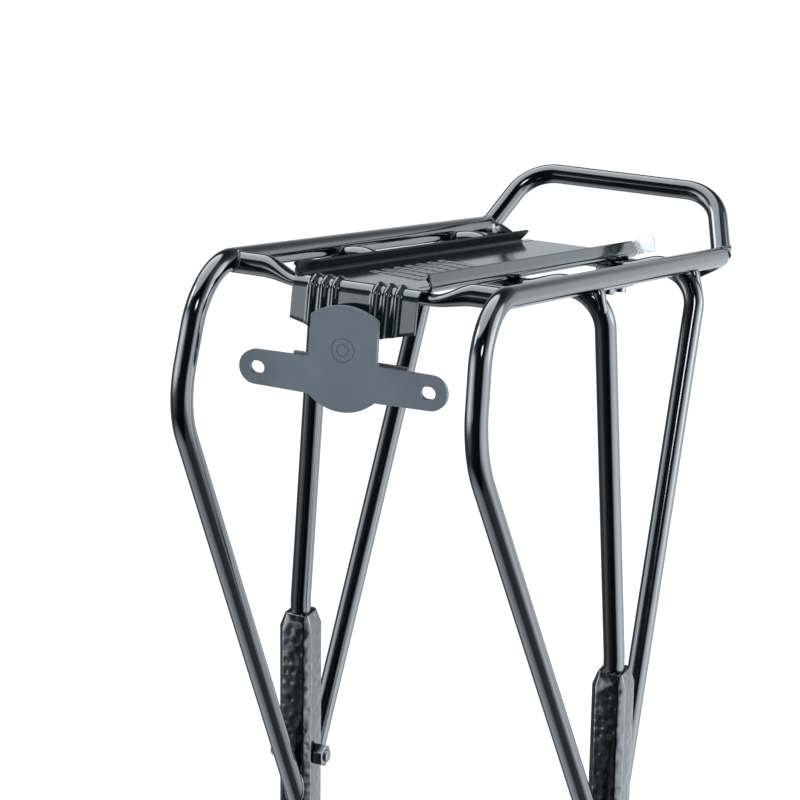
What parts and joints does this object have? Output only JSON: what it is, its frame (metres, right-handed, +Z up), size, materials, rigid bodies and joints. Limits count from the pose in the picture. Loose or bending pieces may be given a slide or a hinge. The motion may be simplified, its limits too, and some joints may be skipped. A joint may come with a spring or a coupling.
{
  "type": "bicycle rear carrier",
  "caption": "Rear luggage carrier for a bicycle: welded tube frame with a ribbed deck plate, front hoop, lamp bracket, sliding feet and sliding front stays.",
  "frame": {"origin": "midway between the two foot eyelets, feet drawn in", "axes": "+X is the bicycle's right, +Y its front (the hoop's end), +Z up"},
  "size_m": [0.1916, 0.3676, 0.3788],
  "materials": {
    "frame_paint": "gloss",
    "deck_paint": "gloss",
    "slate_coat": "matte",
    "dark_plastic": "matte",
    "clear_plastic": "clear",
    "zinc_steel": "satin",
    "foot_metal": "satin"
  },
  "bodies": {
    "frame": {"side_tube_left": "frame_paint", "side_tube_right": "frame_paint", "front_hoop": "frame_paint", "rear_cross_tube": "frame_paint", "middle_arch": "frame_paint", "front_arch": "frame_paint", "middle_gusset_left": "frame_paint", "middle_gusset_right": "frame_paint", "front_gusset_left": "frame_paint", "front_gusset_right": "frame_paint", "top_plate": "deck_paint", "flange_end_stop": "clear_plastic", "lamp_bracket": "slate_coat", "bracket_backing_bar": "dark_plastic", "bracket_bolt_left": "zinc_steel", "bracket_bolt_right": "zinc_steel", "foot_housing_left": "frame_paint", "foot_housing_right": "frame_paint", "foot_washer_left": "zinc_steel", "foot_bolt_left": "zinc_steel", "foot_nut_left": "zinc_steel", "foot_washer_right": "zinc_steel", "foot_bolt_right": "zinc_steel", "foot_nut_right": "zinc_steel", "stay_clamp_body_left": "frame_paint", "stay_clamp_cap_left": "frame_paint", "stay_bolt_left_rear": "zinc_steel", "stay_bolt_left_front": "zinc_steel", "stay_clamp_body_right": "frame_paint", "stay_clamp_cap_right": "frame_paint", "stay_bolt_right_rear": "zinc_steel", "stay_bolt_right_front": "zinc_steel"},
    "left_foot": {"foot_left": "foot_metal"},
    "right_foot": {"foot_right": "foot_metal"},
    "left_stay": {"stay_left": "frame_paint"},
    "right_stay": {"stay_right": "frame_paint"}
  },
  "joints": [
    {"name": "left_foot_slide", "type": "slide", "parent": "frame", "child": "left_foot", "axis": [0, 0.2038, -0.979], "range_m": [0, 0.04]},
    {"name": "right_foot_slide", "type": "slide", "parent": "frame", "child": "right_foot", "axis": [0, 0.2038, -0.979], "range_m": [0, 0.04]},
    {"name": "left_stay_slide", "type": "slide", "parent": "frame", "child": "left_stay", "axis": [0, 1, 0], "range_m": [0, 0.13]},
    {"name": "right_stay_slide", "type": "slide", "parent": "frame", "child": "right_stay", "axis": [0, 1, 0], "range_m": [0, 0.13]}
  ]
}
